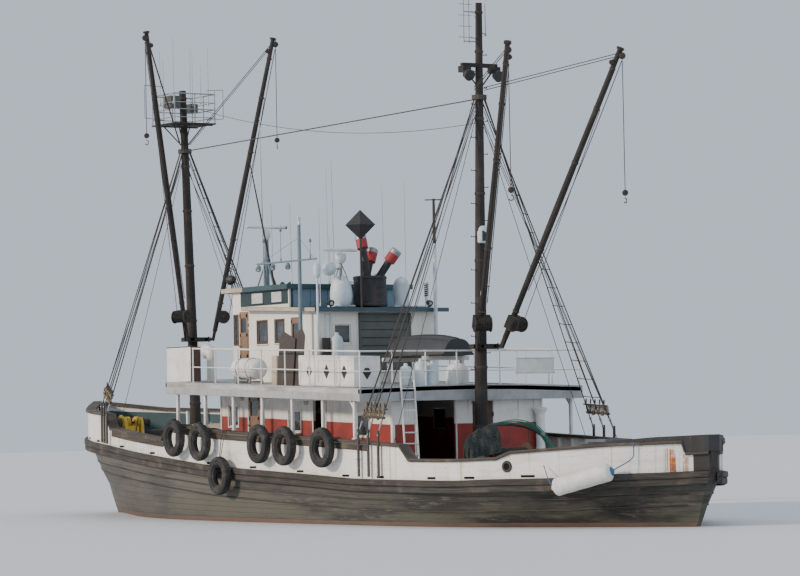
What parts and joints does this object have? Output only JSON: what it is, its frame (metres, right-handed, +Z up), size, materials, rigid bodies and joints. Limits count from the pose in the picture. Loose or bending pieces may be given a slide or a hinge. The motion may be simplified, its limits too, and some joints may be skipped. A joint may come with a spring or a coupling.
{
  "type": "wooden coastal cargo vessel",
  "caption": "Decked wooden motor cargo vessel with two masts, cargo booms, deckhouse, raised pilothouse and fenders, complete below the waterline.",
  "frame": {"origin": "on the load waterline, on the centreline, amidships", "axes": "+X towards the bow, +Y to port, +Z up"},
  "size_m": [30.352, 7.552, 16.5646],
  "materials": {
    "hull_wood": "old black paint over planking, faded",
    "guard_wood": "weathered timber",
    "white_paint": "white oil paint over wood, stained by rust",
    "cap_wood": "dark worn timber",
    "plate_steel": "slate grey paint with rust",
    "bronze": "cast bronze",
    "deck_paint": "light grey deck paint",
    "door_wood": "varnished wood, faded",
    "cream_paint": "cream paint",
    "black_paint": "black paint",
    "spar_wood": "dark oiled spar",
    "wire_rope": "tarred wire rope",
    "tyre_rubber": "worn tyre rubber",
    "yellow_paint": "yellow paint with rust",
    "rusty_steel": "rusty steel",
    "slate_paint": "slate grey paint",
    "red_paint": "red oxide paint below, white above",
    "white_metal": "white paint",
    "grey_canvas": "dark grey boat cover paint"
  },
  "bodies": {
    "vessel": {"hull": "hull_wood", "guard_rail": "guard_wood", "bulwark": "white_paint", "cap_rail": "cap_wood", "stern_plates": "plate_steel", "deckhouse_port_wall": "red_paint", "deckhouse_starboard_wall": "red_paint", "deckhouse_aft_wall": "white_paint", "deckhouse_front_wall": "white_paint", "boat_deck": "deck_paint", "boat_deck_posts_port": "white_paint", "boat_deck_posts_starboard": "white_paint", "pilothouse_port_wall": "cream_paint", "pilothouse_starboard_wall": "cream_paint", "pilothouse_front_wall": "cream_paint", "pilothouse_aft_wall": "cream_paint", "pilothouse_roof": "slate_paint", "wheelhouse_roof": "slate_paint", "boat_deck_rail": "white_metal", "funnel": "black_paint", "roof_vents": "white_metal", "aft_radar_mast": "white_metal", "fore_radar_mast": "black_paint", "signal_pole": "white_metal", "day_shape": "black_paint", "cowl_vent": "white_metal", "deck_locker": "white_paint", "liferaft": "white_metal", "skiff": "grey_canvas", "boat_deck_ladder": "white_metal", "foremast": "spar_wood", "mainmast": "spar_wood", "crows_nest": "spar_wood", "fore_shrouds": "wire_rope", "main_shrouds": "wire_rope", "hatch_coaming": "white_paint", "windlass": "yellow_paint", "cargo_winch": "rusty_steel", "after_companion": "slate_paint", "hung_tyres": "tyre_rubber", "bolster_fender": "white_paint"},
    "rudder": {"rudder": "plate_steel"},
    "propeller": {"propeller": "bronze"},
    "fore_radar_scanner": {"fore_radar_scanner": "black_paint"},
    "aft_radar_scanner": {"aft_radar_scanner": "black_paint"},
    "hatch_cover": {"hatch_cover": "plate_steel"},
    "deckhouse_port_door": {"deckhouse_port_door": "door_wood"},
    "deckhouse_aft_door": {"deckhouse_aft_door": "door_wood"},
    "wheelhouse_door_port": {"wheelhouse_door_port": "door_wood"},
    "wheelhouse_door_starboard": {"wheelhouse_door_starboard": "door_wood"},
    "cabin_door_port": {"cabin_door_port": "door_wood"},
    "cabin_door_starboard": {"cabin_door_starboard": "door_wood"},
    "fore_gooseneck_port": {"fore_gooseneck_port": "plate_steel"},
    "fore_boom_port": {"fore_boom_port": "spar_wood"},
    "fore_gooseneck_starboard": {"fore_gooseneck_starboard": "plate_steel"},
    "fore_boom_starboard": {"fore_boom_starboard": "spar_wood"},
    "main_gooseneck_port": {"main_gooseneck_port": "plate_steel"},
    "main_boom_port": {"main_boom_port": "spar_wood"},
    "main_gooseneck_starboard": {"main_gooseneck_starboard": "plate_steel"},
    "main_boom_starboard": {"main_boom_starboard": "spar_wood"}
  },
  "joints": [
    {"name": "rudder_stock", "type": "hinge", "parent": "vessel", "child": "rudder", "pos_m": [-12.9, 0, -1.6], "axis": [0, 0, 1], "range_deg": [-35, 35]},
    {"name": "propeller_shaft", "type": "hinge", "parent": "vessel", "child": "propeller", "pos_m": [-11.96, 0, -2.06], "axis": [1, 0, 0], "continuous": true},
    {"name": "fore_radar_turn", "type": "hinge", "parent": "vessel", "child": "fore_radar_scanner", "pos_m": [3.3, 1.15, 7.85], "axis": [0, 0, 1], "continuous": true},
    {"name": "aft_radar_turn", "type": "hinge", "parent": "vessel", "child": "aft_radar_scanner", "pos_m": [-0.12, 0.9, 7.05], "axis": [0, 0, 1], "continuous": true},
    {"name": "hatch_hinge", "type": "hinge", "parent": "vessel", "child": "hatch_cover", "pos_m": [5.42, 0, 2.518], "axis": [0, -1, 0], "range_deg": [0, 95]},
    {"name": "deckhouse_port_door_hinge", "type": "hinge", "parent": "vessel", "child": "deckhouse_port_door", "pos_m": [1.82, 2.317, 2.4], "axis": [0, 0, 1], "range_deg": [0, 100]},
    {"name": "wheelhouse_door_port_hinge", "type": "hinge", "parent": "vessel", "child": "wheelhouse_door_port", "pos_m": [3.1, 1.887, 4.7], "axis": [0, 0, 1], "range_deg": [0, 100]},
    {"name": "cabin_door_port_hinge", "type": "hinge", "parent": "vessel", "child": "cabin_door_port", "pos_m": [0.3, 1.887, 4.5], "axis": [0, 0, 1], "range_deg": [0, 100]},
    {"name": "wheelhouse_door_starboard_hinge", "type": "hinge", "parent": "vessel", "child": "wheelhouse_door_starboard", "pos_m": [3.1, -1.887, 4.7], "axis": [0, 0, -1], "range_deg": [0, 100]},
    {"name": "cabin_door_starboard_hinge", "type": "hinge", "parent": "vessel", "child": "cabin_door_starboard", "pos_m": [0.3, -1.887, 4.5], "axis": [0, 0, -1], "range_deg": [0, 100]},
    {"name": "deckhouse_aft_door_hinge", "type": "hinge", "parent": "vessel", "child": "deckhouse_aft_door", "pos_m": [-4.717, -0.76, 2.2], "axis": [0, 0, 1], "range_deg": [0, 100]},
    {"name": "fore_boom_slew_port", "type": "hinge", "parent": "vessel", "child": "fore_gooseneck_port", "pos_m": [9.17, 0.33, 5.05], "axis": [0, 0, -1], "range_deg": [-48, 20]},
    {"name": "fore_boom_luff_port", "type": "hinge", "parent": "fore_gooseneck_port", "child": "fore_boom_port", "pos_m": [9.10993, 0.43962, 5.05], "axis": [0.8769, 0.4806, 0], "range_deg": [-30, 5]},
    {"name": "fore_boom_slew_starboard", "type": "hinge", "parent": "vessel", "child": "fore_gooseneck_starboard", "pos_m": [9.17, -0.33, 5.05], "axis": [0, 0, 1], "range_deg": [-48, 20]},
    {"name": "fore_boom_luff_starboard", "type": "hinge", "parent": "fore_gooseneck_starboard", "child": "fore_boom_starboard", "pos_m": [9.10993, -0.43962, 5.05], "axis": [-0.8769, 0.4806, 0], "range_deg": [-30, 5]},
    {"name": "main_boom_slew_port", "type": "hinge", "parent": "vessel", "child": "main_gooseneck_port", "pos_m": [-5.64, 0.31, 4.42], "axis": [0, 0, -1], "range_deg": [-13, 50]},
    {"name": "main_boom_luff_port", "type": "hinge", "parent": "main_gooseneck_port", "child": "main_boom_port", "pos_m": [-5.75665, 0.35492, 4.42], "axis": [0.3593, 0.9332, 0], "range_deg": [-30, 10]},
    {"name": "main_boom_slew_starboard", "type": "hinge", "parent": "vessel", "child": "main_gooseneck_starboard", "pos_m": [-5.64, -0.31, 4.42], "axis": [0, 0, 1], "range_deg": [-13, 50]},
    {"name": "main_boom_luff_starboard", "type": "hinge", "parent": "main_gooseneck_starboard", "child": "main_boom_starboard", "pos_m": [-5.75665, -0.35492, 4.42], "axis": [-0.3593, 0.9332, 0], "range_deg": [-30, 10]}
  ]
}
